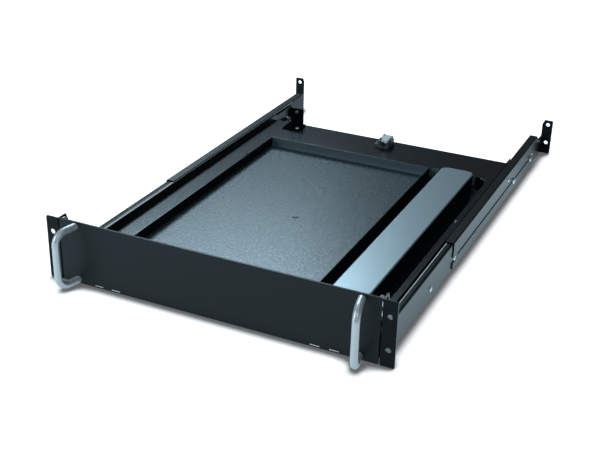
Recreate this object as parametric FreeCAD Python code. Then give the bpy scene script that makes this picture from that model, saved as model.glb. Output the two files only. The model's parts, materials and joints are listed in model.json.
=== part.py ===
"""Rack keyboard drawer, two units high: a tray on telescopic ball slides between rack brackets.

Millimetres. X runs along the front panel, Y from the front to the back, Z up.
Y values are written from the front panel's face. save() moves every piece so that
the origin lies under the middle of the whole assembly, on the plane it stands on.
"""
import FreeCAD, Part
from FreeCAD import Vector
import math
import os

# Rack standard: two units of 44.45 mm, 482.6 mm over the ears
UNIT = 44.45
HOLE_PITCH = 15.875
END_HOLE_Z = 6.35
PANEL_GAP = 0.8
PANEL_H = 2 * UNIT - PANEL_GAP
EAR_SPAN = 482.6
EAR_W = 16.3
HOLE_EDGE = 8.75
RACK_HOLE_D = 7.1
REAR_HOLE_D = 6.5
EAR_HOLE_Z = (UNIT / 2, 1.5 * UNIT)
REAR_HOLE_Z = (UNIT + END_HOLE_Z - 2 * HOLE_PITCH, UNIT + END_HOLE_Z)

# Sheet thicknesses and running gaps
SHEET = 1.5
THIN_SHEET = 1.2
EAR_GAP = 1.0
SEAT_GAP = 0.3
SCREW_GAP = 0.25

# Ball slides
SLIDE_T = 12.7
SLIDE_H = 35.3
SLIDE_MID_Z = 21.0
SLIDE_FRONT = 10.0
SLIDE_LENGTH = 660.0
MEMBER_T = 1.2
MEMBER_BEND = 1.8
BALL_R = 1.45
RACE = 3.2
CAGE_T = 0.5
BALLS_PER_ROW = 2
DRAWER_TRAVEL = 560.0
CAGE_END = 12.0

# Drawer
PANEL_T = 3.0
PAN_FLOOR_Z = 2.0
WALL_TOP = 38.0
DECK_Z = 29.5
FLOOR_Z = 14.7
DECK_WALL = 2.5
LIP_T = 1.6
LEFT_STRIP = 31.3
POCKET_W = 94.5
RIGHT_STRIP = 11.8
REAR_SHELF = 78.8
DECK_FRONT = 9.0

# Handles
ROD_D = 9.5
HANDLE_INSET = 24.0
HANDLE_SPACING = 76.2
HANDLE_REACH = 32.5
HANDLE_SPLAY = 12.0
HANDLE_BEND = 16.0

# Rear brackets
REAR_COVER = 446.0
TAIL_LENGTH = 36.0
TAIL_TOP = 31.5
REAR_EAR_TOP = 58.5
REAR_EAR_W = 17.0
ADJUST_SLOT_H = 3.6
ADJUST_TRAVEL = 280.0
ADJUST_Z = 16.0
SLIDE_SCREW_Z = 14.0

# Places that follow from the sizes above
WEB_OUT = EAR_SPAN / 2 - EAR_W - SHEET
WEB_IN = WEB_OUT - SHEET
HOLE_X = EAR_SPAN / 2 - HOLE_EDGE
WALL_OUT = WEB_IN - SLIDE_T
WALL_IN = WALL_OUT - THIN_SHEET
PANEL_HALF = WEB_IN - EAR_GAP
SLIDE_BACK = SLIDE_FRONT + SLIDE_LENGTH
PAN_BACK = SLIDE_BACK - 73.2
REAR_PLANE = SLIDE_BACK + 74.0
REAR_FRONT = REAR_PLANE - TAIL_LENGTH - REAR_COVER
SLIDE_TOP = SLIDE_MID_Z + SLIDE_H / 2
PAN_TOP = PAN_FLOOR_Z + THIN_SHEET
DECK_HALF = WALL_IN - SEAT_GAP
DECK_BACK = PAN_BACK - THIN_SHEET - SEAT_GAP
POCKET_RIGHT = DECK_HALF - RIGHT_STRIP
RECESS = (LEFT_STRIP - DECK_HALF, POCKET_RIGHT - POCKET_W)
RECESS_BACK = PAN_BACK - REAR_SHELF
RECESS_DEPTH = RECESS_BACK - DECK_FRONT - DECK_WALL
HANDLE_X = PANEL_HALF - HANDLE_INSET
ADJUST_STUDS = (SLIDE_BACK - 108.0, SLIDE_BACK - 6.0)
ADJUST_SLOT = (ADJUST_STUDS[0] - ADJUST_TRAVEL - ADJUST_SLOT_H / 2, ADJUST_STUDS[1] + ADJUST_SLOT_H)
MID_Y = (REAR_PLANE - HANDLE_REACH - ROD_D / 2) / 2

PLANES = {
    "xz": lambda a, b: Vector(a, 0, b),
    "xy": lambda a, b: Vector(a, b, 0),
    "yz": lambda a, b: Vector(0, a, b),
}


def box(x0, x1, y0, y1, z0, z1):
    """Box between two corners."""
    return Part.makeBox(x1 - x0, y1 - y0, z1 - z0, Vector(x0, y0, z0))


def bar(radius, start, end):
    """Round bar between two points."""
    a, b = Vector(*start), Vector(*end)
    return Part.makeCylinder(radius, (b - a).Length, a, b - a)


def mirrored(shape):
    """The same piece on the other side of the middle plane."""
    return shape.mirror(Vector(0, 0, 0), Vector(1, 0, 0))


def fuse(shapes):
    """One solid from several that touch or overlap."""
    return shapes[0].multiFuse(shapes[1:]).removeSplitter()


def loop_face(points, plane):
    """Face inside a closed line through the points."""
    at = PLANES[plane]
    corners = [at(*p) for p in points]
    return Part.Face(Part.makePolygon(corners + corners[:1]))


def strip_face(points, thickness, bend, plane):
    """Section of a bent sheet: the corners of its middle line, with a radius at each bend."""
    at = PLANES[plane]

    def one_side(line):
        edges = []
        line = [Vector(*p, 0) for p in line]
        first = (line[1] - line[0]).normalize()
        last = line[0] + Vector(-first.y, first.x, 0) * thickness / 2
        for before, corner, after in zip(line, line[1:], line[2:]):
            d1 = (corner - before).normalize()
            d2 = (after - corner).normalize()
            n1 = Vector(-d1.y, d1.x, 0)
            n2 = Vector(-d2.y, d2.x, 0)
            turn = math.atan2(d1.x * d2.y - d1.y * d2.x, d1.dot(d2))
            back = bend * math.tan(abs(turn) / 2)
            sign = math.copysign(1, turn)
            centre = corner - d1 * back + n1 * bend * sign
            start = corner - d1 * back + n1 * thickness / 2
            end = corner + d2 * back + n2 * thickness / 2
            middle = centre + (corner - centre).normalize() * (bend - sign * thickness / 2)
            edges.append(Part.makeLine(at(last.x, last.y), at(start.x, start.y)))
            edges.append(Part.Arc(*(at(p.x, p.y) for p in (start, middle, end))).toShape())
            last = end
        d = (line[-1] - line[-2]).normalize()
        end = line[-1] + Vector(-d.y, d.x, 0) * thickness / 2
        edges.append(Part.makeLine(at(last.x, last.y), at(end.x, end.y)))
        return edges

    there = one_side(points)
    back = one_side(points[::-1])
    caps = [Part.makeLine(there[-1].Vertexes[-1].Point, back[0].Vertexes[0].Point),
            Part.makeLine(back[-1].Vertexes[-1].Point, there[0].Vertexes[0].Point)]
    return Part.Face(Part.Wire(there + caps[:1] + back + caps[1:]))


def along_y(face, y0, y1):
    """Sheet section in the XZ plane, drawn out from y0 to y1."""
    face.translate(Vector(0, y0, 0))
    return face.extrude(Vector(0, y1 - y0, 0))


def slot_cut(y0, y1, height, z, x0, x1):
    """Round-ended slot that runs along Y and goes through a web."""
    r = height / 2
    return fuse([box(x0, x1, y0 + r, y1 - r, z - r, z + r),
                 bar(r, (x0, y0 + r, z), (x1, y0 + r, z)),
                 bar(r, (x0, y1 - r, z), (x1, y1 - r, z))])


def pan_screw(point, direction, head_d, head_h, shank_d, shank_l, drive=False):
    """Screw with a bevelled head, and a cross-shaped drive if asked; point is where the head seats."""
    p, d = Vector(*point), Vector(*direction)
    rim = head_h / 2
    head = Part.makeCylinder(head_d / 2, head_h - rim, p, d)
    crown = Part.makeCone(head_d / 2, head_d / 2 - rim, rim, p + d * (head_h - rim), d)
    shank = Part.makeCylinder(shank_d / 2, shank_l, p, d * -1)
    screw = fuse([head, crown, shank])
    if drive:
        side = Vector(0, 1, 0) if abs(d.y) < 0.5 else Vector(1, 0, 0)
        arms = [(side, d.cross(side)), (d.cross(side), side)]
        screw = screw.cut([drive_arm(p + d * head_h, d, a, b, head_d, head_h) for a, b in arms])
    return screw


def drive_arm(top, d, long_way, short_way, head_d, head_h):
    """One arm of a cross-shaped drive, sunk into a screw's head."""
    arm, half, depth = head_d * 0.28, head_d * 0.05, head_h * 0.5
    low = top - d * depth
    corners = [low + long_way * arm * a + short_way * half * b for a, b in ((-1, -1), (1, -1), (1, 1), (-1, 1))]
    return Part.Face(Part.makePolygon(corners + corners[:1])).extrude(d * (depth + 1))


# Front brackets: the rack ear, its gusset and the long web that carries the slide

WEB_BACK = SLIDE_BACK + 6.0
EAR_BEND = 1.5
EAR_CORNER = 2.0
GUSSET_TOP_Y = 16.0
GUSSET_FOOT_Y = 36.0
GUSSET_RIM = 3.0
GUSSET_BACK = 60.0
SLIDE_SCREWS = (REAR_FRONT - 88.0, REAR_FRONT + 9.0)
SLIDE_SCREW_D = 4.0
SLIDE_SCREW_HEAD_D = 7.5
SLIDE_SCREW_HEAD_H = 1.3

SCREW_PLACES = [(y, SLIDE_SCREW_Z) for y in SLIDE_SCREWS] + [(y, ADJUST_Z) for y in ADJUST_STUDS]


def front_bracket():
    """Right-hand front bracket."""
    ear = strip_face([(EAR_SPAN / 2, SHEET / 2), (WEB_IN + SHEET / 2, SHEET / 2),
                      (WEB_IN + SHEET / 2, GUSSET_BACK)], SHEET, EAR_BEND, "xy").extrude(Vector(0, 0, PANEL_H))
    gusset = loop_face([(-1, 0), (-1, PANEL_H), (GUSSET_TOP_Y, PANEL_H), (GUSSET_FOOT_Y, WALL_TOP),
                        (GUSSET_BACK + 1, WALL_TOP), (GUSSET_BACK + 1, 0)], "yz")
    gusset.translate(Vector(WEB_IN - 1, 0, 0))
    ear = ear.common(gusset.extrude(Vector(EAR_SPAN / 2, 0, 0)))
    web = box(WEB_IN, WEB_OUT, GUSSET_BACK - 1, WEB_BACK, 0, WALL_TOP)
    bracket = fuse([ear, web])
    slope = (GUSSET_FOOT_Y - GUSSET_TOP_Y) / (PANEL_H - WALL_TOP)
    top, foot = PANEL_H - GUSSET_RIM, PANEL_H - 9 * GUSSET_RIM
    inner = EAR_BEND + GUSSET_RIM
    window = loop_face([(inner, top), (GUSSET_TOP_Y + (PANEL_H - top) * slope - GUSSET_RIM, top),
                        (GUSSET_TOP_Y + (PANEL_H - foot) * slope - GUSSET_RIM, foot), (inner, foot)], "yz")
    window.translate(Vector(WEB_IN - 1, 0, 0))
    cuts = [window.extrude(Vector(SHEET + 2, 0, 0))]
    for z in EAR_HOLE_Z:
        cuts.append(bar(RACK_HOLE_D / 2, (HOLE_X, -1, z), (HOLE_X, SHEET + 1, z)))
    for y, z in SCREW_PLACES:
        cuts.append(bar(SLIDE_SCREW_D / 2, (WEB_IN - 1, y, z), (WEB_OUT + 1, y, z)))
    bracket = bracket.cut(cuts)
    corners = [e for e in bracket.Edges
               if abs(e.Length - SHEET) < 0.01 and e.BoundBox.XMin > EAR_SPAN / 2 - 0.1]
    return bracket.makeFillet(EAR_CORNER, corners)


SPRING_Y = (PANEL_T + 1.5, PANEL_T + 9.0)
SPRING_Z = (WALL_TOP + 8.0, PANEL_H - 3.0)
SPRING_FOOT = 6.0
SPRING_T = 0.4
SPRING_WAVE = 2.6
SPRING_WAVES = 3
SPRING_TIP = 6.0


def edge_spring():
    """Right-hand strip of spring steel on the gusset, waved behind the panel's edge, with its top turned in."""
    x = WEB_IN - SPRING_T / 2
    low, high = SPRING_Z
    step = (high - low) / (2 * SPRING_WAVES)
    line = [(x, low - SPRING_FOOT)]
    line += [(x - SPRING_WAVE * (i % 2), low + step * i) for i in range(2 * SPRING_WAVES + 1)]
    line.append((x - SPRING_TIP, high + SPRING_T))
    return along_y(strip_face(line, SPRING_T, 2 * SPRING_T, "xz"), *SPRING_Y)


# Ball slides. Sections are drawn in u, from the bracket's web towards the drawer, and w, from mid-height

def member(points, thickness, bend, y0, y1):
    """Slide member, bent from strip and symmetric about mid-height."""
    half = [(WEB_IN - u, SLIDE_MID_Z + w) for u, w in points]
    lower = [(WEB_IN - u, SLIDE_MID_Z - w) for u, w in reversed(points)]
    return along_y(strip_face(half + lower, thickness, bend, "xz"), y0, y1)


HALF_H = SLIDE_H / 2
OUTER_W = HALF_H - MEMBER_T / 2
OUTER_BALL_W = HALF_H - MEMBER_T - RACE / 2
MIDDLE_W = OUTER_BALL_W - RACE / 2 - MEMBER_T / 2
INNER_BALL_W = MIDDLE_W - MEMBER_T / 2 - RACE / 2
INNER_W = INNER_BALL_W - RACE / 2 - MEMBER_T / 2
OUTER_LIP_U = 8.6
MIDDLE_LIP_U = 9.4
MIDDLE_WEB_U = 2.8
INNER_LIP_U = 5.2
OUTER_BALL_U = 6.4
INNER_BALL_U = 7.2
OUTER_CAGE_U = (1.6, 7.6)
INNER_CAGE_U = (4.0, 8.3)
MIDDLE_WINDOW = (40.0, 9.0)
STOP_Z = (9.0, 30.0)
MIDDLE_Y = (SLIDE_FRONT + 2, SLIDE_BACK - 8)
INNER_Y = (SLIDE_FRONT - 6, PAN_BACK + 2)
CAGE_RUN = DRAWER_TRAVEL / 4 + CAGE_END
OUTER_CAGE = (SLIDE_FRONT + CAGE_RUN, MIDDLE_Y[1] - CAGE_RUN)
INNER_CAGE = (MIDDLE_Y[0] + CAGE_RUN, INNER_Y[1] - CAGE_RUN)
INNER_BEND = 1.2
LIP_PLAY = 0.15
ADJUST_TAP_D = 3.3


def outer_slide():
    """Member that is screwed to the bracket's web."""
    lip_end = OUTER_BALL_W - LIP_PLAY
    body = member([(OUTER_LIP_U, lip_end), (OUTER_LIP_U, OUTER_W), (MEMBER_T / 2, OUTER_W)],
                  MEMBER_T, MEMBER_BEND, SLIDE_FRONT, SLIDE_BACK)
    holes = [bar(ADJUST_TAP_D / 2, (WEB_IN + 1, y, z), (WEB_IN - MEMBER_T - 1, y, z))
             for y, z in SCREW_PLACES]
    stop = box(WEB_IN - OUTER_LIP_U, WEB_IN - MEMBER_T / 2, SLIDE_BACK - MEMBER_T, SLIDE_BACK, *STOP_Z)
    return fuse([body, stop]).cut(holes)


def middle_slide():
    """Member that runs half as far as the drawer."""
    lip_end = INNER_BALL_W - LIP_PLAY / 3
    body = member([(MIDDLE_LIP_U, lip_end), (MIDDLE_LIP_U, MIDDLE_W), (MIDDLE_WEB_U, MIDDLE_W)],
                  MEMBER_T, MEMBER_BEND, *MIDDLE_Y)
    x = WEB_IN - MIDDLE_WEB_U
    length, height = MIDDLE_WINDOW
    windows = [slot_cut(y, y + length, height, SLIDE_MID_Z, x - 2, x + 2) for y in INNER_SCREWS]
    return body.cut(windows)


INNER_SCREWS = [PAN_BACK * part for part in (0.1, 0.5, 0.9)]


def inner_slide():
    """Member that is screwed to the drawer's side wall."""
    lip_end = INNER_BALL_W - RACE / 2 + INNER_BEND - 2 * LIP_PLAY
    body = member([(INNER_LIP_U, lip_end), (INNER_LIP_U, INNER_W), (SLIDE_T - MEMBER_T / 2, INNER_W)],
                  MEMBER_T, INNER_BEND, *INNER_Y)
    holes = [bar(SLIDE_SCREW_D / 2, (WALL_OUT - 1, y, SLIDE_MID_Z),
                 (WALL_OUT + MEMBER_T + 1, y, SLIDE_MID_Z)) for y in INNER_SCREWS]
    return body.cut(holes)


BALL_PLAY = 0.15
CAGE_BRIDGE = 12.0
CAGE_WINDOW_H = 12.0


def ball_places(cage, u, w):
    """Ball centres of one cage: two rows, evenly spread along it."""
    pitch = (cage[1] - cage[0]) / BALLS_PER_ROW
    return [(WEB_IN - u, cage[0] + pitch * (i + 0.5), SLIDE_MID_Z + side * w)
            for side in (1, -1) for i in range(BALLS_PER_ROW)]


def ball_cage(cage, cage_u, u, w):
    """Strip that keeps the balls apart, open in its web between them."""
    web_u, end_u = cage_u
    body = member([(end_u, w), (web_u, w)], CAGE_T, 2 * CAGE_T, *cage)
    pockets = [bar(BALL_R + BALL_PLAY, (x, y, z - 1), (x, y, z + 1)) for x, y, z in ball_places(cage, u, w)]
    x = WEB_IN - web_u
    length = (cage[1] - cage[0]) / BALLS_PER_ROW
    windows = [slot_cut(cage[0] + length * i + CAGE_BRIDGE, cage[0] + length * (i + 1) - CAGE_BRIDGE,
                        CAGE_WINDOW_H, SLIDE_MID_Z, x - 1, x + 1) for i in range(BALLS_PER_ROW)]
    return body.cut(pockets + windows)


def balls(cage, u, w):
    """The balls of one cage."""
    return Part.makeCompound([Part.makeSphere(BALL_R, Vector(*p)) for p in ball_places(cage, u, w)])


LEVER_PIVOT_Y = SLIDE_FRONT + DRAWER_TRAVEL / 4
LEVER_LENGTH = 62.0
LEVER_H = 5.0
LEVER_U = (8.6, 10.9)
LEVER_PLAY = 0.3
LEVER_PIN_D = 3.0
LEVER_PIN_HEAD = 0.8


def release_lever():
    """Hand lever inside the inner member that lets the drawer lift off its slides."""
    x0, x1 = WEB_IN - LEVER_U[1], WEB_IN - LEVER_U[0]
    y0, y1, z = LEVER_PIVOT_Y - LEVER_LENGTH, LEVER_PIVOT_Y, SLIDE_MID_Z
    arm = box(x0, x1, y0, y1, z - LEVER_H / 2, z + LEVER_H / 2)
    eye = bar(LEVER_H / 2 + 1, (x0, y1, z), (x1, y1, z))
    thumb = bar(LEVER_H / 2, (x0 - LEVER_PLAY, y0, z), (x1 + 1, y0, z))
    hole = bar(LEVER_PIN_D / 2 + 0.05, (x0 - 1, y1, z), (x1 + 2, y1, z))
    return fuse([arm, eye, thumb]).cut(hole)


def lever_pin():
    """Rivet that the lever turns on, headed over in the inner member's web."""
    y, z = LEVER_PIVOT_Y, SLIDE_MID_Z
    foot = WEB_IN - SLIDE_T + MEMBER_T
    neck = WEB_IN - LEVER_U[0] + LEVER_PLAY
    return fuse([bar(LEVER_PIN_D / 2, (foot, y, z), (neck, y, z)),
                 bar(LEVER_PIN_D / 2 + 1, (neck, y, z), (neck + LEVER_PIN_HEAD, y, z))])


def slide_screws():
    """Screws through the bracket's web into the outer member."""
    return Part.makeCompound([
        pan_screw((WEB_OUT, y, SLIDE_SCREW_Z), (1, 0, 0), SLIDE_SCREW_HEAD_D, SLIDE_SCREW_HEAD_H,
                  ADJUST_TAP_D, SHEET + MEMBER_T, drive=True) for y in SLIDE_SCREWS])


ADJUST_HEAD = (9.5, 2.8)
ADJUST_PLAY = 0.2


def adjust_screws():
    """Clamp screws through the rear bracket's slot into the outer member."""
    seat = WEB_OUT + SHEET + ADJUST_PLAY
    return Part.makeCompound([
        pan_screw((seat, y, ADJUST_Z), (1, 0, 0), *ADJUST_HEAD, ADJUST_TAP_D,
                  2 * SHEET + ADJUST_PLAY + MEMBER_T, drive=True) for y in ADJUST_STUDS])


# Rear brackets: a cover over the slide with a long slot in its web, and the rear ear

COVER_GAP = 0.35
REAR_BOTTOM = 0.7
COVER_W = 12.8
NOTCH_H = SLIDE_SCREW_HEAD_D + 1.0
FLANGE_BACK = REAR_PLANE - TAIL_LENGTH
TAIL_SLOPE = 14.0
EAR_CHAMFER = (3.5, 7.0)
RIVETS = ((SLIDE_BACK - 140.0, SLIDE_MID_Z + 8.0), (ADJUST_SLOT[1] + 8.0, SLIDE_MID_Z))
RIVET_HEAD = (5.0, 1.2)
RIVET_D = 2.5


def rear_bracket():
    """Right-hand rear bracket."""
    web_x = WEB_OUT + SHEET / 2
    web_far = WEB_OUT + SHEET
    top_z = SLIDE_TOP + COVER_GAP + SHEET / 2
    cover = along_y(strip_face([(web_far - COVER_W, top_z), (web_x, top_z), (web_x, REAR_BOTTOM)],
                               SHEET, EAR_BEND, "xz"), REAR_FRONT, FLANGE_BACK)
    ear_edge = web_far + REAR_EAR_W - SHEET
    tail = strip_face([(web_x, FLANGE_BACK - 1), (web_x, REAR_PLANE - SHEET / 2),
                       (ear_edge, REAR_PLANE - SHEET / 2)], SHEET, EAR_BEND, "xy")
    tail = tail.extrude(Vector(0, 0, REAR_EAR_TOP))
    behind, bend = REAR_PLANE + 1, REAR_PLANE - SHEET - EAR_BEND
    outline = loop_face([(FLANGE_BACK - 2, REAR_BOTTOM), (bend, REAR_BOTTOM), (bend, 0), (behind, 0),
                         (behind, REAR_EAR_TOP), (bend, REAR_EAR_TOP), (bend, TAIL_TOP),
                         (FLANGE_BACK + TAIL_SLOPE, TAIL_TOP), (FLANGE_BACK, WALL_TOP),
                         (FLANGE_BACK - 2, WALL_TOP)], "yz")
    outline.translate(Vector(WEB_IN, 0, 0))
    tail = tail.common(outline.extrude(Vector(EAR_SPAN, 0, 0)))
    bracket = fuse([cover, tail])
    cuts = [slot_cut(*ADJUST_SLOT, ADJUST_SLOT_H, ADJUST_Z, WEB_OUT - 1, web_far + 1),
            slot_cut(REAR_FRONT - 20, SLIDE_SCREWS[1] + NOTCH_H / 2, NOTCH_H, SLIDE_SCREW_Z,
                     WEB_OUT - 1, web_far + 1)]
    for z in REAR_HOLE_Z:
        cuts.append(bar(REAR_HOLE_D / 2, (HOLE_X, REAR_PLANE - SHEET - 1, z), (HOLE_X, REAR_PLANE + 1, z)))
    for y, z in RIVETS:
        cuts.append(bar(RIVET_D / 2, (WEB_OUT - 1, y, z), (web_far + 1, y, z)))
    wide, high = EAR_CHAMFER
    corner = loop_face([(WEB_OUT - 1, REAR_EAR_TOP - high), (WEB_OUT - 1, REAR_EAR_TOP + 1),
                        (web_far - SHEET + wide, REAR_EAR_TOP + 1), (WEB_OUT, REAR_EAR_TOP - high)], "xz")
    corner.translate(Vector(0, bend, 0))
    cuts.append(corner.extrude(Vector(0, behind - bend, 0)))
    bracket = bracket.cut(cuts)
    corners = [e for e in bracket.Edges if abs(e.Length - SHEET) < 0.01
               and e.BoundBox.XMin > ear_edge - 0.1]
    return bracket.makeFillet(EAR_CORNER, corners)


def bracket_rivets():
    """Small rivets in the rear bracket's web, flush inside."""
    seat = WEB_OUT + SHEET
    return Part.makeCompound([
        pan_screw((seat, y, z), (1, 0, 0), *RIVET_HEAD, RIVET_D, SHEET) for y, z in RIVETS])


# Drawer: front panel, handles, folded pan and moulded deck

SLOT_X = (PANEL_HALF - 80.8, PANEL_HALF - 55.6)
SLOT_W = 13.0
SLOT_Z = (PAN_FLOOR_Z - 1.2, PAN_TOP + 0.8)
TAB_GAP = 0.3
TAB_SHY = 0.2
HANDLE_TAP_D = 4.0
HANDLE_TAP_DEPTH = 6.0
HANDLE_HEAD = (6.8, 2.4)
FLANGE_H = 24.0
PAN_BEND = 2.0
EDGE_BREAK = 0.4
HANDLE_Z = (PANEL_H / 2 - HANDLE_SPACING / 2, PANEL_H / 2 + HANDLE_SPACING / 2)


def front_panel():
    """Flat panel with four slots for the pan's tabs and four holes for the handles."""
    panel = box(-PANEL_HALF, PANEL_HALF, 0, PANEL_T, 0, PANEL_H)
    panel = panel.makeChamfer(EDGE_BREAK, [e for e in panel.Edges if e.BoundBox.YMax < 0.01])
    cuts = []
    for side in (1, -1):
        for x in SLOT_X:
            cuts.append(box(side * x - SLOT_W / 2, side * x + SLOT_W / 2, -1, PANEL_T + 1, *SLOT_Z))
        for z in HANDLE_Z:
            cuts.append(bar(HANDLE_TAP_D / 2 + 0.25, (side * HANDLE_X, -1, z),
                            (side * HANDLE_X, PANEL_T + 1, z)))
    return panel.cut(cuts)


def handle():
    """Right-hand handle: one bent rod, splayed outwards and cut flush with the panel."""
    low, high = HANDLE_Z
    r, bend = ROD_D / 2, HANDLE_BEND
    leg = HANDLE_REACH / math.cos(math.radians(HANDLE_SPLAY))
    turn_y = bend - leg
    pieces = [bar(r, (0, -leg, low + bend), (0, -leg, high - bend))]
    for z, inward in ((low, 1), (high, -1)):
        end = Part.Face(Part.Wire(Part.makeCircle(r, Vector(0, turn_y, z), Vector(0, 1, 0))))
        pieces.append(end.revolve(Vector(0, turn_y, z + inward * bend), Vector(-inward, 0, 0), 90))
        pieces.append(bar(r, (0, turn_y, z), (0, r, z)))
    rod = fuse(pieces)
    rod.rotate(Vector(0, 0, 0), Vector(0, 0, 1), HANDLE_SPLAY)
    rod.translate(Vector(HANDLE_X, 0, 0))
    rod = rod.common(box(0, EAR_SPAN, -2 * HANDLE_REACH, 0, 0, PANEL_H))
    return rod.cut([bar(HANDLE_TAP_D / 2, (HANDLE_X, -HANDLE_TAP_DEPTH, z), (HANDLE_X, 1, z))
                    for z in HANDLE_Z])


def handle_screws():
    """Screws through the panel into the handles' ends; the lower two also hold the pan's flange."""
    screws = []
    for side in (1, -1):
        for z, sheet in zip(HANDLE_Z, (THIN_SHEET, 0)):
            screws.append(pan_screw((side * HANDLE_X, PANEL_T + sheet, z), (0, 1, 0), *HANDLE_HEAD,
                                    HANDLE_TAP_D, PANEL_T + sheet + HANDLE_TAP_DEPTH - 1))
    return Part.makeCompound(screws)


def drawer_pan():
    """Folded steel pan: floor, side walls, rear wall, and a front flange with tabs."""
    mid_x = WALL_OUT - THIN_SHEET / 2
    mid_z = PAN_FLOOR_Z + THIN_SHEET / 2
    trough = along_y(strip_face([(-mid_x, WALL_TOP), (-mid_x, mid_z), (mid_x, mid_z), (mid_x, WALL_TOP)],
                                THIN_SHEET, PAN_BEND, "xz"), PANEL_T, PAN_BACK)
    rear = box(-WALL_IN, WALL_IN, PAN_BACK - THIN_SHEET, PAN_BACK, PAN_FLOOR_Z, DECK_Z - DECK_WALL - 1)
    flange_y = PANEL_T + THIN_SHEET
    front = box(-WALL_IN, WALL_IN, PANEL_T, flange_y, PAN_FLOOR_Z, FLANGE_H)
    tabs = [box(side * x - SLOT_W / 2 + TAB_GAP, side * x + SLOT_W / 2 - TAB_GAP, TAB_SHY, flange_y,
                PAN_FLOOR_Z, PAN_TOP) for side in (1, -1) for x in SLOT_X]
    pan = fuse([trough, rear, front] + tabs)
    cuts = []
    head_r, low = HANDLE_HEAD[0] / 2 + 1, HANDLE_Z[0]
    for x in (HANDLE_X, -HANDLE_X):
        cuts.append(bar(HANDLE_TAP_D / 2 + SCREW_GAP, (x, 0, low), (x, flange_y + 1, low)))
        cuts.append(box(x - head_r, x + head_r, flange_y, flange_y + HANDLE_HEAD[1] + 1, 0, PAN_TOP + 0.01))
    for side in (1, -1):
        for y in INNER_SCREWS:
            cuts.append(bar(SLIDE_SCREW_D / 2, (side * (WALL_IN - 1), y, SLIDE_MID_Z),
                            (side * (WALL_OUT + 1), y, SLIDE_MID_Z)))
    for x, y in DECK_SCREWS:
        cuts.append(bar(SMALL_SCREW_D / 2 + 2 * SCREW_GAP, (x, y, 0), (x, y, PAN_TOP + 1)))
    return pan.cut(cuts)


SMALL_SCREW_D = 3.2
SMALL_SCREW_L = 8.0
LEAD_SCREW_D = 3.4
CENTRE_D = 4.0
INNER_HEAD = (7.0, 1.8)
DECK_HEAD = (6.0, 1.4)
SIDE_HEAD = (4.4, 1.3)
CENTRE_HEAD = (9.0, 1.2)
CLAMP_HEAD = (6.5, 1.6)
CLAMP_LEFT = -4.6
CLAMP_W = 19.6
CLAMP_X = (CLAMP_LEFT, CLAMP_LEFT + CLAMP_W)
CLAMP_MID = sum(CLAMP_X) / 2
CLAMP_FOOT_W = 5.4
CLAMP_FOOT_H = 5.5
CLAMP_Y = (PAN_BACK - 36.8, PAN_BACK - 10.2)
CLAMP_SCREWS = [(CLAMP_X[0] - 1.4, CLAMP_Y[0] + 7.0), (CLAMP_X[0] - 1.4, CLAMP_Y[1] - 7.0)]
ARM_FOOT_X = (LEFT_STRIP - DECK_HALF - 3.5, LEFT_STRIP - DECK_HALF + 27.5)
ARM_X = (ARM_FOOT_X[0] + 3.0, ARM_FOOT_X[1] - 4.0)
ARM_Y = (PAN_BACK - 36.8, PAN_BACK - 6.8)
ARM_SCREW = (ARM_FOOT_X[1] - 5.6, ARM_Y[0] + 9.0)
DECK_SCREWS = [(x, DECK_BACK * part) for x in (LEFT_STRIP / 2 - DECK_HALF, DECK_HALF - RIGHT_STRIP / 2)
               for part in (0.05, 0.45, 0.95)]
RIB_T = 2.0
RIB_ROWS = 5
RIBS_X = tuple(RECESS[0] + (RECESS[1] - RECESS[0]) * part for part in (1 / 3, 2 / 3))
REAR_RIBS_X = (CLAMP_X[0] - 40.0, CLAMP_X[1] + 40.0)
COVE_R = 5.0
POCKET_CORNER = 20.0
DECK_ROUND = 0.6
CENTRE_SCREW = (RECESS[0] + (RECESS[1] - RECESS[0]) * 0.557, RECESS_BACK - RECESS_DEPTH * 0.462)
SIDE_SCREW = (POCKET_RIGHT + 3.2, RECESS_BACK - RECESS_DEPTH / 3)
SPARE_HOLE_D = 4.2
SPARE_HOLE = (RECESS[0] - SPARE_HOLE_D / 2 - 1.0, RECESS_BACK - RECESS_DEPTH / 6)
PALM_X = (RECESS[1] + 24.5, POCKET_RIGHT - 19.0)
PALM_Y = (DECK_FRONT + 11.0, RECESS_BACK - 10.0)
PEG_INSET = 40.0
PEGS = [(sum(PALM_X) / 2, y) for y in (PALM_Y[0] + PEG_INSET, sum(PALM_Y) / 2, PALM_Y[1] - PEG_INSET)]
PEG_D = 6.0
BOSS_D = 8.0


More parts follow.
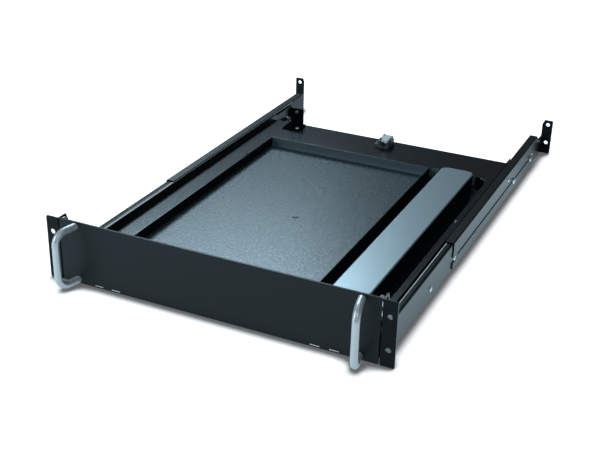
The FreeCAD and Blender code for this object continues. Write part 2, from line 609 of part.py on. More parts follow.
def deck():
    """Moulded deck: a recess for the keyboard, a pocket for the palm rest, ribs and bosses below."""
    lip_left = RECESS[1] - LIP_T
    top = box(-DECK_HALF, DECK_HALF, DECK_FRONT, DECK_BACK, PAN_TOP + SEAT_GAP, DECK_Z)
    top = top.makeChamfer(MEMBER_BEND, [e for e in top.Edges if e.BoundBox.ZMax < PAN_TOP + 1
                                        and e.BoundBox.XLength < 1])
    recess = box(RECESS[0], lip_left, DECK_FRONT + DECK_WALL, RECESS_BACK, FLOOR_Z, DECK_Z + 1)
    recess = recess.makeFillet(COVE_R, [e for e in recess.Edges if e.BoundBox.YMin > RECESS_BACK - 0.1
                                        and e.BoundBox.ZMax < FLOOR_Z + 0.1])
    pocket = box(RECESS[1], POCKET_RIGHT, DECK_FRONT + DECK_WALL, RECESS_BACK, FLOOR_Z, DECK_Z + 1)
    pocket = pocket.makeFillet(POCKET_CORNER, [e for e in pocket.Edges if e.BoundBox.YMin > RECESS_BACK - 0.1
                                               and e.BoundBox.XMin > POCKET_RIGHT - 0.1])
    body = top.cut([recess, pocket])
    soft = [e for e in body.Edges if e.BoundBox.ZMin > DECK_Z - 0.1 and e.Length > POCKET_CORNER
            and e.BoundBox.XMin > -DECK_HALF + 1 and e.BoundBox.XMax < DECK_HALF - 1]
    body = body.makeFillet(DECK_ROUND, soft)
    low = PAN_TOP + SEAT_GAP - 1
    under_floor, under_top = FLOOR_Z - DECK_WALL, DECK_Z - DECK_WALL
    left = (-DECK_HALF + DECK_WALL, RECESS[0] - DECK_WALL)
    right = (POCKET_RIGHT + DECK_WALL, DECK_HALF - DECK_WALL)
    floors = (RECESS[0] + DECK_WALL,) + RIBS_X + (RECESS[1], POCKET_RIGHT - DECK_WALL)
    columns = [(left, under_top), (right, under_top)]
    columns += [((a + RIB_T / 2, b - RIB_T / 2), under_floor) for a, b in zip(floors, floors[1:])]
    pitch = (RECESS_BACK - DECK_FRONT) / RIB_ROWS
    rows = [DECK_FRONT + DECK_WALL] + [DECK_FRONT + pitch * i for i in range(1, RIB_ROWS)] + [RECESS_BACK]
    cells = [box(*span, a + RIB_T / 2, b - RIB_T / 2, low, ceiling)
             for span, ceiling in columns for a, b in zip(rows, rows[1:])]
    back = (-DECK_HALF + DECK_WALL,) + REAR_RIBS_X + (DECK_HALF - DECK_WALL,)
    cells += [box(a + RIB_T / 2, b - RIB_T / 2, RECESS_BACK + DECK_WALL, DECK_BACK - DECK_WALL,
                  low, under_top) for a, b in zip(back, back[1:])]
    body = body.cut(cells)
    seat = PAN_TOP + SEAT_GAP
    bosses = [bar(BOSS_D / 2, (x, y, seat), (x, y, under_top + 0.5)) for x, y in DECK_SCREWS]
    bosses.append(bar(BOSS_D / 2, (*SIDE_SCREW, DECK_Z - SMALL_SCREW_L - 1), (*SIDE_SCREW, under_top + 0.5)))
    body = fuse([body] + bosses).cut(pocket)
    r = SMALL_SCREW_D / 2
    cuts = [bar(r, (x, y, low), (x, y, PAN_TOP + SMALL_SCREW_L)) for x, y in DECK_SCREWS]
    cuts.append(bar(r, (*SIDE_SCREW, DECK_Z - SMALL_SCREW_L), (*SIDE_SCREW, DECK_Z + 1)))
    cuts.append(bar(SPARE_HOLE_D / 2, (*SPARE_HOLE, under_top - 1), (*SPARE_HOLE, DECK_Z + 1)))
    cuts += [bar(PEG_D / 2 + SCREW_GAP, (x, y, low), (x, y, FLOOR_Z + 1)) for x, y in PEGS]
    cuts.append(bar(CENTRE_D / 2, (*CENTRE_SCREW, low), (*CENTRE_SCREW, FLOOR_Z + 1)))
    cuts += [bar(LEAD_SCREW_D / 2, (x, y, under_top - 1), (x, y, DECK_Z + 1))
             for x, y in CLAMP_SCREWS + [ARM_SCREW]]
    for side in (1, -1):
        for y in INNER_SCREWS:
            cuts.append(bar(INNER_HEAD[0] / 2 + 2 * SCREW_GAP, (side * (DECK_HALF + 1), y, SLIDE_MID_Z),
                            (side * (DECK_HALF - DECK_WALL - 1), y, SLIDE_MID_Z)))
    return body.cut(cuts)


def inner_screws():
    """Right-hand screws through the drawer's side wall into the inner member."""
    return Part.makeCompound([
        pan_screw((WALL_IN, y, SLIDE_MID_Z), (-1, 0, 0), *INNER_HEAD, SLIDE_SCREW_D,
                  THIN_SHEET + MEMBER_T) for y in INNER_SCREWS])


def deck_screws():
    """Screws up through the pan into the deck's bosses."""
    return Part.makeCompound([
        pan_screw((x, y, PAN_FLOOR_Z), (0, 0, -1), *DECK_HEAD, SMALL_SCREW_D,
                  THIN_SHEET + SMALL_SCREW_L - 1) for x, y in DECK_SCREWS])


def side_screw():
    """Small screw in the deck's right-hand strip."""
    return pan_screw((*SIDE_SCREW, DECK_Z), (0, 0, 1), *SIDE_HEAD, SMALL_SCREW_D, SMALL_SCREW_L)


def centre_screw():
    """Low round-headed screw in the keyboard recess."""
    return pan_screw((*CENTRE_SCREW, FLOOR_Z), (0, 0, 1), *CENTRE_HEAD, CENTRE_D, FLOOR_Z - PAN_TOP - 1)


PALM_TOP = 41.0
PALM_CORNER = 11.0
PALM_ROUND = 2.0
PALM_WALL = 2.5


def palm_rest():
    """Moulded palm rest, hollow below, with pegs that drop into the pocket's floor."""
    base = FLOOR_Z + 0.2
    block = box(*PALM_X, *PALM_Y, base, PALM_TOP)
    block = block.makeFillet(PALM_CORNER, [e for e in block.Edges
                                           if abs(e.BoundBox.ZLength - (PALM_TOP - base)) < 0.01])
    block = block.makeFillet(PALM_ROUND, [e for e in block.Edges if e.BoundBox.ZMin > PALM_TOP - 0.01])
    hollow = box(PALM_X[0] + PALM_WALL, PALM_X[1] - PALM_WALL, PALM_Y[0] + PALM_WALL,
                 PALM_Y[1] - PALM_WALL, base - 1, PALM_TOP - PALM_WALL)
    upright = [e for e in hollow.Edges if e.BoundBox.ZLength > 1]
    shell = block.cut(hollow.makeFillet(PALM_CORNER - PALM_WALL, upright))
    middles = [(a[1] + b[1]) / 2 for a, b in zip(PEGS, PEGS[1:])]
    ribs = [box(PALM_X[0] + 1, PALM_X[1] - 1, y - RIB_T / 2, y + RIB_T / 2, base, PALM_TOP - 1)
            for y in middles]
    pegs = []
    for x, y in PEGS:
        pegs.append(bar(PEG_D / 2 + PALM_WALL, (x, y, base), (x, y, PALM_TOP - 1)))
        pegs.append(bar(PEG_D / 2, (x, y, FLOOR_Z - DECK_WALL - 2), (x, y, base + 1)))
    return fuse([shell] + ribs + pegs)


# Pieces on the deck's rear edge

CLAMP_TOP = DECK_Z + 10.0
CLAMP_BORE = 4.5
CLAMP_ROUND = 1.5
LID_T = 4.4
LID_ROUND = 1.6
LID_GAP = 0.3
HINGE_PIN_D = 2.8
HINGE_X = CLAMP_X[0] + 3.2
HINGE_Z = CLAMP_TOP + LID_GAP + LID_T / 2
EAR_Y = (1.5, 5.5)
CATCH_T = 1.5


def clamp_base():
    """Saddle that a keyboard lead lies in: a foot and two hinge ears on its left, a catch on its right."""
    front, back = CLAMP_Y
    body = box(*CLAMP_X, front, back, DECK_Z, CLAMP_TOP)
    foot = box(CLAMP_X[0] - CLAMP_FOOT_W, CLAMP_MID, front, back, DECK_Z, DECK_Z + CLAMP_FOOT_H)
    groove_z = CLAMP_TOP - CLAMP_BORE + 1
    groove = fuse([bar(CLAMP_BORE, (CLAMP_MID, front - 1, groove_z), (CLAMP_MID, back + 1, groove_z)),
                   box(CLAMP_MID - CLAMP_BORE, CLAMP_MID + CLAMP_BORE, front - 1, back + 1,
                       groove_z, CLAMP_TOP + 1)])
    body, foot = [piece.makeFillet(CLAMP_ROUND, [e for e in piece.Edges if e.BoundBox.ZLength > CLAMP_ROUND])
                  for piece in (body, foot)]
    body = fuse([body, foot]).cut(groove)
    r = LID_T / 2 + 0.4
    ears = []
    for y0, y1 in ((front + EAR_Y[0], front + EAR_Y[1]), (back - EAR_Y[1], back - EAR_Y[0])):
        ears.append(bar(r, (HINGE_X, y0, HINGE_Z), (HINGE_X, y1, HINGE_Z)))
        ears.append(box(HINGE_X - r, HINGE_X + r, y0, y1, CLAMP_TOP - 1, HINGE_Z))
    hole = bar(HINGE_PIN_D / 2 + 0.05, (HINGE_X, front - 1, HINGE_Z), (HINGE_X, back + 1, HINGE_Z))
    catch = box(CLAMP_X[1] - CATCH_T, CLAMP_X[1], front + 8, back - 8, CLAMP_TOP - 1,
                CLAMP_TOP + LID_GAP + LID_T)
    taps = [bar(LEAD_SCREW_D / 2, (x, y, DECK_Z - 1), (x, y, DECK_Z + CLAMP_FOOT_H - 1))
            for x, y in CLAMP_SCREWS]
    return fuse([body] + ears + [catch]).cut([hole] + taps)


def clamp_screws():
    """Screws from below the deck's top into the clamp's base."""
    return Part.makeCompound([
        pan_screw((x, y, DECK_Z - DECK_WALL), (0, 0, -1), *CLAMP_HEAD, LEAD_SCREW_D,
                  DECK_WALL + CLAMP_FOOT_H - 2) for x, y in CLAMP_SCREWS])


def clamp_lid():
    """Light lid of the cable clamp, with its knuckle, pin and a thumb lip."""
    front, back = CLAMP_Y
    z0, z1 = HINGE_Z - LID_T / 2, HINGE_Z + LID_T / 2
    y0, y1 = front + EAR_Y[1] + LID_GAP, back - EAR_Y[1] - LID_GAP
    far = CLAMP_X[1] - CATCH_T - LID_GAP
    near = HINGE_X + LID_T / 2 + 0.4 + LID_GAP
    plate = box(near, far, front + 1, back - 1, z0, z1)
    plate = plate.makeFillet(LID_ROUND, [e for e in plate.Edges if e.BoundBox.ZMin > z1 - 0.01])
    neck = box(HINGE_X, near + 2, y0, y1, z0, z1)
    knuckle = bar(LID_T / 2, (HINGE_X, y0, HINGE_Z), (HINGE_X, y1, HINGE_Z))
    lip = box(far - 5, far - 1, front - 2, front + 2, z0, z1 - 1)
    pin = bar(HINGE_PIN_D / 2, (HINGE_X, front + EAR_Y[0], HINGE_Z), (HINGE_X, back - EAR_Y[0], HINGE_Z))
    return fuse([plate, neck, knuckle, lip, pin])


ARM_TOP = 59.0
ARM_BEND = 2.0
ARM_CORNER = 3.0
FOOT_HEAD = (8.0, 2.4)
TOP_HEAD = (7.0, 2.2)
TOP_SCREW = (sum(ARM_X) / 2, ARM_TOP - 6.0)


def cable_bracket():
    """Angle bracket on the deck's rear left corner, its upright narrower than its foot."""
    wall = ARM_Y[1] - SHEET / 2
    profile = strip_face([(ARM_Y[0], DECK_Z + SHEET / 2), (wall, DECK_Z + SHEET / 2), (wall, ARM_TOP)],
                         SHEET, ARM_BEND, "yz")
    profile.translate(Vector(ARM_FOOT_X[0], 0, 0))
    body = profile.extrude(Vector(ARM_FOOT_X[1] - ARM_FOOT_X[0], 0, 0))
    bend_top = DECK_Z + SHEET + ARM_BEND
    x, z = TOP_SCREW
    cuts = [box(ARM_FOOT_X[0] - 1, ARM_X[0], *ARM_Y, bend_top, ARM_TOP + 1),
            box(ARM_X[1], ARM_FOOT_X[1] + 1, *ARM_Y, bend_top, ARM_TOP + 1),
            bar(LEAD_SCREW_D / 2, (*ARM_SCREW, DECK_Z - 1), (*ARM_SCREW, bend_top)),
            bar(LEAD_SCREW_D / 2, (x, wall - SHEET, z), (x, wall + SHEET, z))]
    body = body.cut(cuts)
    corners = [e for e in body.Edges if abs(e.Length - SHEET) < 0.01
               and (e.BoundBox.ZMin > ARM_TOP - 0.1 or e.BoundBox.YMax < ARM_Y[0] + 0.1)]
    return body.makeFillet(ARM_CORNER, corners)


def cable_foot_screw():
    """Screw through the angle bracket's foot into the deck."""
    return pan_screw((*ARM_SCREW, DECK_Z + SHEET), (0, 0, 1), *FOOT_HEAD, LEAD_SCREW_D, DECK_WALL + SHEET + 2,
                     drive=True)


def cable_top_screw():
    """Screw in the angle bracket's upright."""
    x, z = TOP_SCREW
    return pan_screw((x, ARM_Y[1] - SHEET, z), (0, -1, 0), *TOP_HEAD, LEAD_SCREW_D, SHEET + 4, drive=True)


def save(name, shape):
    """Write one named sub-part, moved so that the origin is under the assembly's middle."""
    solids = shape.Solids
    out = solids[0] if len(solids) == 1 else Part.makeCompound(solids)
    out = out.copy()
    out.translate(Vector(0, -MID_Y, 0))
    assert all(s.isValid() for s in out.Solids), name
    out.exportStep("parts/" + name + ".step")


def main():
    os.makedirs("parts", exist_ok=True)
    handed = {
        "front_bracket": front_bracket(),
        "outer_slide": outer_slide(),
        "middle_slide": middle_slide(),
        "inner_slide": inner_slide(),
        "outer_ball_cage": ball_cage(OUTER_CAGE, OUTER_CAGE_U, OUTER_BALL_U, OUTER_BALL_W),
        "inner_ball_cage": ball_cage(INNER_CAGE, INNER_CAGE_U, INNER_BALL_U, INNER_BALL_W),
        "outer_balls": balls(OUTER_CAGE, OUTER_BALL_U, OUTER_BALL_W),
        "inner_balls": balls(INNER_CAGE, INNER_BALL_U, INNER_BALL_W),
        "release_lever": release_lever(),
        "lever_pin": lever_pin(),
        "slide_screws": slide_screws(),
        "adjust_screws": adjust_screws(),
        "inner_slide_screws": inner_screws(),
        "rear_bracket": rear_bracket(),
        "bracket_rivets": bracket_rivets(),
        "edge_spring": edge_spring(),
        "handle": handle(),
    }
    for name, shape in handed.items():
        save(name + "_right", shape)
        save(name + "_left", mirrored(shape))
    single = {
        "front_panel": front_panel(),
        "handle_screws": handle_screws(),
        "drawer_pan": drawer_pan(),
        "deck": deck(),
        "deck_screws": deck_screws(),
        "side_screw": side_screw(),
        "centre_screw": centre_screw(),
        "palm_rest": palm_rest(),
        "cable_clamp_base": clamp_base(),
        "cable_clamp_lid": clamp_lid(),
        "cable_clamp_screws": clamp_screws(),
        "cable_bracket": cable_bracket(),
        "cable_bracket_foot_screw": cable_foot_screw(),
        "cable_bracket_top_screw": cable_top_screw(),
    }
    for name, shape in single.items():
        save(name, shape)


main()
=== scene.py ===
import json
import math

import bpy
from mathutils import Matrix, Vector


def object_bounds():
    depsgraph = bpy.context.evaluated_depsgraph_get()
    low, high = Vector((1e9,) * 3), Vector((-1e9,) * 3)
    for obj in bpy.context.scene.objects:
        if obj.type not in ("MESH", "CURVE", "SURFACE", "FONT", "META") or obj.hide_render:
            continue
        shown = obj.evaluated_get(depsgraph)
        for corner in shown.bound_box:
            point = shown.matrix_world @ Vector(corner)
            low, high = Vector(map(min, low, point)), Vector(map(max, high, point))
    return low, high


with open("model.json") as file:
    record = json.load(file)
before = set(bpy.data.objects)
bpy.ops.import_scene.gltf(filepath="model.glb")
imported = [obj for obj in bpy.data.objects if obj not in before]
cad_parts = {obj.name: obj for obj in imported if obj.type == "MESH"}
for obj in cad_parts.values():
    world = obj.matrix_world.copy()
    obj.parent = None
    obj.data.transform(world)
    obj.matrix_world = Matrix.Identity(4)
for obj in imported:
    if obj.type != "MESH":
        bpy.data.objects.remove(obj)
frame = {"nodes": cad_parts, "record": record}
CAD_BOX = [list(corner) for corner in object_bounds()]
NODES = frame["nodes"]

# Camera of the photograph, solved against the rack standard's sizes; metres, degrees and millimetres
CAMERA_AT = Vector((0.5760, -1.3460, 0.6891))
CAMERA_AZIMUTH = 24.787
CAMERA_ELEVATION = 25.99
CAMERA_ROLL = 1.41
SENSOR = 36.0
FOCAL_LENGTH = 64.655

# Soft lamps: place, aim, width, height in metres, power in watts
LAMPS = {
    "behind": ((-1.17, 1.72, 1.83), (-0.04, -0.1, 0.0), 0.9, 1.0, 36),
    "overhead": ((-0.2, 0.0, 2.6), (0.0, 0.0, 0.0), 2.2, 2.2, 8),
    "front": ((-1.9, -2.0, 1.2), (0.0, -0.2, 0.0), 1.4, 1.4, 42),
    "fill": ((1.5, -1.9, 2.0), (0.0, 0.0, 0.0), 0.9, 0.9, 16),
}
AIR_LIGHT = 0.07

# Light table under the part
TABLE_SIZE = 14.0
TABLE_DROP = 0.0005
PAPER_ROUGHNESS = 0.9
CAMERA_GLOW = 0.86
MIRROR_GLOW_NEAR = 0.85
MIRROR_GLOW_FAR = 0.15
GLOW_FADES_FROM = 0.24
GLOW_FADES_TO = 0.42

# Painted contact shadow in the paper's colour and camera glow: reach in metres, openness where it is darkest
# and where it ends, and light left in it
CONTACT_REACH = 0.025
CONTACT_DARK = 0.62
CONTACT_CLEAR = 0.85
CONTACT_LEAST = 0.12

# Colours, linear
WHITE = (1.0, 1.0, 1.0)
SKY = (0.66, 0.88, 1.0)
PAPER = (0.80, 0.80, 0.80)
DEEP_BLACK = (0.002, 0.003, 0.004)
PANEL_COAT = (0.006, 0.008, 0.010)
BRACKET_COAT = (0.007, 0.010, 0.012)
# Painted shade: a darker copy of the bracket coat for the brackets' front and back faces
EAR_SHADE_COAT = (0.004, 0.006, 0.007)
DECK_BLACK = (0.003, 0.005, 0.007)
DECK_SHEEN = (0.82, 0.92, 1.0)
# Painted light: the recess floor's base is lighter than the deck plastic
FLOOR_LIT_GREY = (0.024, 0.036, 0.042)
# Painted light: the recess's rear wall and cove are a lighter grey than the deck plastic
REAR_WALL_LIT_GREY = (0.080, 0.100, 0.112)
PALM_GREY = (0.31, 0.37, 0.40)
ALUMINIUM = (0.60, 0.60, 0.60)
DARK_PLATE = (0.030, 0.037, 0.042)
BRIGHT_PLATE = (0.62, 0.64, 0.65)
SCREW_STEEL = (0.86, 0.88, 0.89)
CAGE_STEEL = (0.42, 0.43, 0.42)
BALL_STEEL = (0.70, 0.71, 0.72)
DARK_SCREW = (0.16, 0.17, 0.18)
CLAMP_BLACK = (0.060, 0.060, 0.066)
CLAMP_LIGHT = (0.66, 0.70, 0.70)

# Surface grain: scale of the noise, and height in metres
COAT_GRAIN = (1400, 0.00003)
PALM_GRAIN = (900, 0.00005)
DECK_GRAIN = (280, 0.00005)
FLOOR_GRAIN = (280, 0.00016)
NOISE_DETAIL = 2.0
NOISE_LOW = 0.3
NOISE_HIGH = 0.7

# Reach of the deck's finishes, from the sides of the deck and the palm rest, in metres
PALM_TO_LIP = 0.020
LEFT_STRIP = 0.0305
REAR_SHELF = 0.085
POCKET_CORNER = 0.110
TOP_ROUND = 0.001
COVE_FOOT = 0.003

# Reach of the finishes on sheet metal, in metres
TAB_END = 0.002
SLIDE_LIP = 0.0022
SLIDE_WEB = 0.004
SHEET_EDGE = 0.0005

# Share of a face's normal along one axis, from nearly across it to nearly along it
SLIGHT = 0.2
STEEP = 0.3
SLOPED = 0.37
TURNED = 0.5
SQUARE = 0.9
ALONG = 0.96


def add_node(tree, kind, sockets):
    """New shader node with values on some of its input sockets."""
    node = tree.nodes.new(kind)
    for name, value in sockets.items():
        node.inputs[name].default_value = value
    return node


def add_math(tree, operation, first, second, third=None):
    """Math node whose inputs are numbers or output sockets; returns its output."""
    node = tree.nodes.new("ShaderNodeMath")
    node.operation = operation
    for socket, value in zip(node.inputs, (first, second, third)):
        if isinstance(value, float):
            socket.default_value = value
        elif value is not None:
            tree.links.new(value, socket)
    return node.outputs["Value"]


def new_material(name):
    """Material with its node tree and shader."""
    material = bpy.data.materials.new(name)
    material.use_nodes = True
    tree = material.node_tree
    return material, tree, tree.nodes["Principled BSDF"]


def add_grain(tree, shader, scale, height, mottle):
    """Fine bump over the whole surface, in the object's own coordinates, and a mottle in its gloss."""
    coords = tree.nodes.new("ShaderNodeTexCoord")
    noise = add_node(tree, "ShaderNodeTexNoise", {"Scale": scale, "Detail": NOISE_DETAIL})
    bump = add_node(tree, "ShaderNodeBump", {"Strength": 1.0, "Distance": height})
    tree.links.new(coords.outputs["Object"], noise.inputs["Vector"])
    tree.links.new(noise.outputs["Fac"], bump.inputs["Height"])
    tree.links.new(bump.outputs["Normal"], shader.inputs["Normal"])
    if mottle:
        even = shader.inputs["Roughness"].default_value
        gloss = add_node(tree, "ShaderNodeMapRange", {
            "From Min": NOISE_LOW, "From Max": NOISE_HIGH,
            "To Min": even - mottle, "To Max": even + mottle})
        tree.links.new(noise.outputs["Fac"], gloss.inputs["Value"])
        tree.links.new(gloss.outputs["Result"], shader.inputs["Roughness"])


def plain(name, color, roughness, metallic=0.0, specular=0.5, tint=WHITE, grain=None, mottle=0.0):
    """Material of one colour, with the tint of its gloss and an optional grain."""
    material, tree, shader = new_material(name)
    shader.inputs["Base Color"].default_value = (*color, 1.0)
    shader.inputs["Roughness"].default_value = roughness
    shader.inputs["Metallic"].default_value = metallic
    shader.inputs["Specular IOR Level"].default_value = specular
    shader.inputs["Specular Tint"].default_value = (*tint, 1.0)
    if grain:
        add_grain(tree, shader, *grain, mottle)
    return material


MATERIALS = {
    "panel_black": plain("panel_coat", PANEL_COAT, 0.42, specular=0.22, grain=COAT_GRAIN),
    "bracket_black": plain("bracket_coat", BRACKET_COAT, 0.28, specular=0.34, grain=COAT_GRAIN),
    "deck_grey": plain("deck_plastic", DECK_BLACK, 0.23, tint=DECK_SHEEN, grain=DECK_GRAIN, mottle=0.025),
    "palm_grey": plain("palm_plastic", PALM_GREY, 0.33, metallic=0.6, grain=PALM_GRAIN),
    "handle_aluminium": plain("satin_aluminium", ALUMINIUM, 0.42, metallic=0.55),
    "slide_steel": plain("slide_plate", DARK_PLATE, 0.34, metallic=1.0),
    "spring_steel": plain("spring_strip", BRIGHT_PLATE, 0.22, metallic=1.0),
    "cage_steel": plain("cage_strip", CAGE_STEEL, 0.38, metallic=1.0),
    "ball_steel": plain("ball_steel", BALL_STEEL, 0.12, metallic=1.0),
    "screw_zinc": plain("screw_plate", SCREW_STEEL, 0.24, metallic=1.0),
    "screw_dark": plain("dark_screw", DARK_SCREW, 0.35, metallic=1.0),
    "clamp_black": plain("clamp_moulding", CLAMP_BLACK, 0.45),
    "clamp_light": plain("clamp_lid_moulding", CLAMP_LIGHT, 0.18),
}
# Recess floor: the deck plastic's grain with a lighter base, which is painted light
LIT_GRAINED_FLOOR = plain("deck_grain_painted_light", FLOOR_LIT_GREY, 0.305, specular=0.57, tint=DECK_SHEEN,
                      grain=FLOOR_GRAIN, mottle=0.07)
# Painted shade: deep black on the deck's walls and the palm rest's sides
SHADED_WALL = plain("deck_walls_painted_shade", DEEP_BLACK, 0.6, specular=0.15)
# Painted light: a lighter, plain grey on the recess's rear wall and cove
REAR_WALL = plain("deck_rear_walls_painted_light", REAR_WALL_LIT_GREY, 0.8, specular=0.0)
# Painted shade: a darker coat on the brackets' front and back faces
SHADED_EAR_FACE = plain("ear_coat_painted_shade", EAR_SHADE_COAT, 0.5, specular=0.12)
# Deep black coat on the cable bracket, which also stands as painted shade on it and on sheet edges along the
# slides
MATT_BLACK_AND_SHADE = plain("black_coat_and_painted_shade", DEEP_BLACK, 0.7, specular=0.0)
# Painted shade: deep black on the slides' top faces
SHADED_SLIDE_TOP = plain("slide_top_painted_shade", DEEP_BLACK, 0.4, specular=0.14)
# Bare steel edges painted white, as painted highlight lines
BARE_STEEL_HIGHLIGHT = plain("bare_steel_painted_highlight", WHITE, 0.30)
ZINC_WEB = plain("zinc_web", BRIGHT_PLATE, 0.35, metallic=1.0)

# Nodes finished otherwise than the rest of their slot
# The centre screw takes the recess floor's finish with its painted light; the cable bracket takes deep black
# with painted shade
OWN_FINISH = {"centre_screw": LIT_GRAINED_FLOOR, "cable_bracket": MATT_BLACK_AND_SHADE}


def dress_nodes():
    """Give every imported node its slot's material, or its own."""
    for part in frame["record"]["subparts"]:
        mesh = NODES[part["node"]].data
        mesh.materials.clear()
        mesh.materials.append(OWN_FINISH.get(part["node"], MATERIALS[part["material_slot"]]))


def finish_faces(node, material, wanted):
    """Another material on the faces of a node that the test picks by centre and normal."""
    mesh = NODES[node].data
    if material.name not in mesh.materials:
        mesh.materials.append(material)
    slot = mesh.materials.find(material.name)
    for face in mesh.polygons:
        if wanted(face.center, face.normal):
            face.material_index = slot


def spans(node):
    """Low and high corner of a node."""
    corners = [NODES[node].matrix_world @ Vector(c) for c in NODES[node].bound_box]
    return (Vector([min(c[i] for c in corners) for i in range(3)]),
            Vector([max(c[i] for c in corners) for i in range(3)]))


def inner_edge(node):
    """Distance of a side piece's inner edge from the middle plane."""
    low, high = spans(node)
    return min(abs(low.x), abs(high.x))


def finish_deck():
    """Grained floor with a lighter base as painted light and a plain rear wall painted lighter in the
    keyboard recess, and painted shade on the walls round it and on the palm rest's sides.
    """
    palm_low, palm_high = spans("palm_rest")
    low, high = spans("deck")
    lip_x = palm_low.x - PALM_TO_LIP
    palm_x = (palm_low.x + palm_high.x) / 2
    middle_z = (low.z + high.z) / 2
    top_z = high.z - TOP_ROUND

    def is_floor(at, normal):
        return normal.z > SLIGHT and at.x < lip_x and at.z < top_z

    def is_shaded(at, normal):
        in_pocket_corner = at.x > palm_x and at.y > high.y - POCKET_CORNER and at.z < top_z
        in_spare_hole = at.x < low.x + LEFT_STRIP
        upright = abs(normal.z) < TURNED and (in_pocket_corner or in_spare_hole)
        return at.z > middle_z and (abs(normal.x) > TURNED or upright)

    def is_rear_wall(at, normal):
        return (normal.y < -SLOPED and at.x < palm_x and at.y > high.y - REAR_SHELF
                and at.z > middle_z - COVE_FOOT)

    # Painted light on the recess floor
    finish_faces("deck", LIT_GRAINED_FLOOR, is_floor)
    # Painted shade on the deck's walls, the pocket corner and the spare hole's inside
    finish_faces("deck", SHADED_WALL, is_shaded)
    # Painted light on the recess's rear wall and cove
    finish_faces("deck", REAR_WALL, is_rear_wall)
    # Painted shade on the palm rest's sides
    finish_faces("palm_rest", SHADED_WALL, lambda at, normal: abs(normal.z) < STEEP)


def finish_slide(node):
    """Outer slide member: bare lip painted white as a highlight, painted shade on its top and inner edge,
    zinc-plated web.
    """
    low, high = spans(node)
    middle_z = (low.z + high.z) / 2
    edge = inner_edge(node)
    # Painted highlight: white on the lip's rounded edge
    finish_faces(node, BARE_STEEL_HIGHLIGHT, lambda at, normal: abs(at.x) < edge + SLIDE_LIP
                 and abs(normal.x) > SLIGHT and abs(normal.z) > SLIGHT)
    # Painted shade on the slide's top faces
    finish_faces(node, SHADED_SLIDE_TOP, lambda at, normal: normal.z > ALONG and at.z > middle_z)
    finish_faces(node, ZINC_WEB, lambda at, normal: abs(normal.x) > SQUARE and abs(at.x) > edge + SLIDE_WEB)
    # Painted shade on the slide's inner edge
    finish_faces(node, MATT_BLACK_AND_SHADE, lambda at, normal: abs(normal.x) > ALONG
                 and abs(at.x) < edge + SHEET_EDGE)


def finish_metal():
    """Bare ends painted white as highlights on the pan's tabs, and painted shade as dull black on the ears
    and on the sheet edges along the slides.
    """
    panel_back = spans("front_panel")[1].y
    pan_top = spans("drawer_pan")[1].z
    # Painted highlight: white on the tabs' ends
    finish_faces("drawer_pan", BARE_STEEL_HIGHLIGHT, lambda at, normal: at.y < panel_back - TAB_END)
    # Painted shade on the pan wall's top edge on the left
    finish_faces("drawer_pan", MATT_BLACK_AND_SHADE, lambda at, normal: normal.z > SQUARE
                 and at.z > pan_top - SHEET_EDGE and at.x < 0)
    for side in ("right", "left"):
        cover = "rear_bracket_" + side
        cover_edge = inner_edge(cover)
        for bracket in ("front_bracket_" + side, cover):
            # Painted shade on the brackets' front and back faces
            finish_faces(bracket, SHADED_EAR_FACE, lambda at, normal: abs(normal.y) > TURNED)
        # Painted shade on the cover's inner edge
        finish_faces(cover, MATT_BLACK_AND_SHADE, lambda at, normal: abs(normal.x) > ALONG
                     and abs(at.x) < cover_edge + SHEET_EDGE)
        finish_slide("outer_slide_" + side)


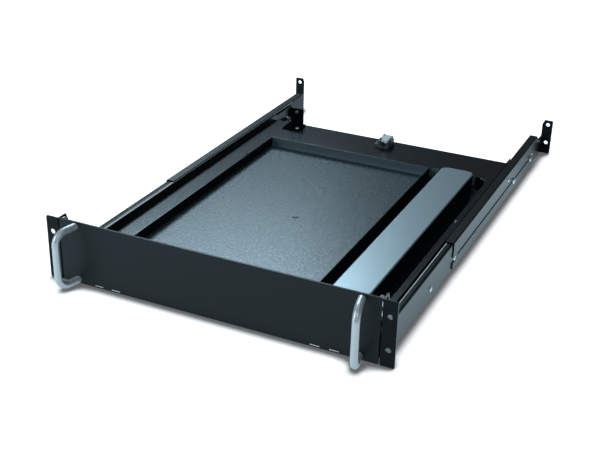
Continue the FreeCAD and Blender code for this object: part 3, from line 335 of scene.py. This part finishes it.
def light_table():
    """Pale floor that takes the part's shadow, with a painted contact shadow near the part in its colour and
    its glow for the camera, and glows for the camera and in reflections.
    """
    bpy.ops.mesh.primitive_plane_add(size=TABLE_SIZE, location=(0, 0, CAD_BOX[0][2] - TABLE_DROP))
    table = bpy.context.object
    table.name = "floor"
    material, tree, shader = new_material("floor_paper")
    shader.inputs["Roughness"].default_value = PAPER_ROUGHNESS
    shader.inputs["Specular IOR Level"].default_value = 0.0

    # Painted contact shadow: the paper's colour and its glow for the camera darken near the part
    nearby = add_node(tree, "ShaderNodeAmbientOcclusion", {"Distance": CONTACT_REACH})
    clear = add_node(tree, "ShaderNodeMapRange", {
        "From Min": CONTACT_DARK, "From Max": CONTACT_CLEAR, "To Min": CONTACT_LEAST})
    paper = add_node(tree, "ShaderNodeMixRGB", {"Color1": (*DEEP_BLACK, 1.0), "Color2": (*PAPER, 1.0)})
    tree.links.new(nearby.outputs["AO"], clear.inputs["Value"])
    tree.links.new(clear.outputs["Result"], paper.inputs["Fac"])
    tree.links.new(paper.outputs["Color"], shader.inputs["Base Color"])

    place = tree.nodes.new("ShaderNodeNewGeometry")
    split = tree.nodes.new("ShaderNodeSeparateXYZ")
    fading = add_node(tree, "ShaderNodeMapRange", {
        "From Min": GLOW_FADES_FROM, "From Max": GLOW_FADES_TO,
        "To Min": MIRROR_GLOW_NEAR, "To Max": MIRROR_GLOW_FAR})
    tree.links.new(place.outputs["Position"], split.inputs["Vector"])
    tree.links.new(split.outputs["Y"], fading.inputs["Value"])

    path = tree.nodes.new("ShaderNodeLightPath")
    tint = add_node(tree, "ShaderNodeMixRGB", {"Color1": (*SKY, 1.0), "Color2": (*WHITE, 1.0)})
    lifted = add_math(tree, "MULTIPLY", clear.outputs["Result"], CAMERA_GLOW)
    seen = add_math(tree, "MULTIPLY", path.outputs["Is Camera Ray"], lifted)
    glow = add_math(tree, "MULTIPLY_ADD", path.outputs["Is Glossy Ray"], fading.outputs["Result"], seen)
    tree.links.new(path.outputs["Is Camera Ray"], tint.inputs["Fac"])
    tree.links.new(tint.outputs["Color"], shader.inputs["Emission Color"])
    tree.links.new(glow, shader.inputs["Emission Strength"])
    table.data.materials.append(material)


def world_light():
    """Dim grey all round, seen as white by the camera."""
    world = bpy.data.worlds.new("studio")
    bpy.context.scene.world = world
    world.use_nodes = True
    tree = world.node_tree
    back = tree.nodes["Background"]
    back.inputs["Color"].default_value = (*WHITE, 1.0)
    path = tree.nodes.new("ShaderNodeLightPath")
    strength = tree.nodes.new("ShaderNodeMix")
    strength.data_type = "FLOAT"
    strength.inputs["A"].default_value = AIR_LIGHT
    strength.inputs["B"].default_value = 1.0
    tree.links.new(path.outputs["Is Camera Ray"], strength.inputs["Factor"])
    tree.links.new(strength.outputs["Result"], back.inputs["Strength"])


def softbox(name, location, target, width, height, power):
    """Rectangular lamp aimed at a point."""
    data = bpy.data.lights.new(name, "AREA")
    data.shape = "RECTANGLE"
    data.size = width
    data.size_y = height
    data.energy = power
    data.color = SKY
    lamp = bpy.data.objects.new(name, data)
    bpy.context.scene.collection.objects.link(lamp)
    lamp.location = location
    aim = Vector(target) - Vector(location)
    lamp.rotation_euler = aim.to_track_quat("-Z", "Y").to_euler()


def camera():
    """The photograph's view."""
    data = bpy.data.cameras.new("photo_view")
    data.sensor_width = SENSOR
    data.lens = FOCAL_LENGTH
    view = bpy.data.objects.new("photo_view", data)
    bpy.context.scene.collection.objects.link(view)
    azimuth = math.radians(CAMERA_AZIMUTH)
    elevation = math.radians(CAMERA_ELEVATION)
    back = Vector((math.sin(azimuth) * math.cos(elevation), -math.cos(azimuth) * math.cos(elevation),
                   math.sin(elevation)))
    level = (-back).to_track_quat("-Z", "Y").to_matrix()
    roll = Matrix.Rotation(math.radians(CAMERA_ROLL), 3, "Z")
    view.matrix_world = Matrix.Translation(CAMERA_AT) @ (level @ roll).to_4x4()
    bpy.context.scene.camera = view


dress_nodes()
finish_deck()
finish_metal()
light_table()
world_light()
for name, lamp in LAMPS.items():
    softbox(name, *lamp)
camera()
bpy.context.scene.view_settings.view_transform = "Standard"
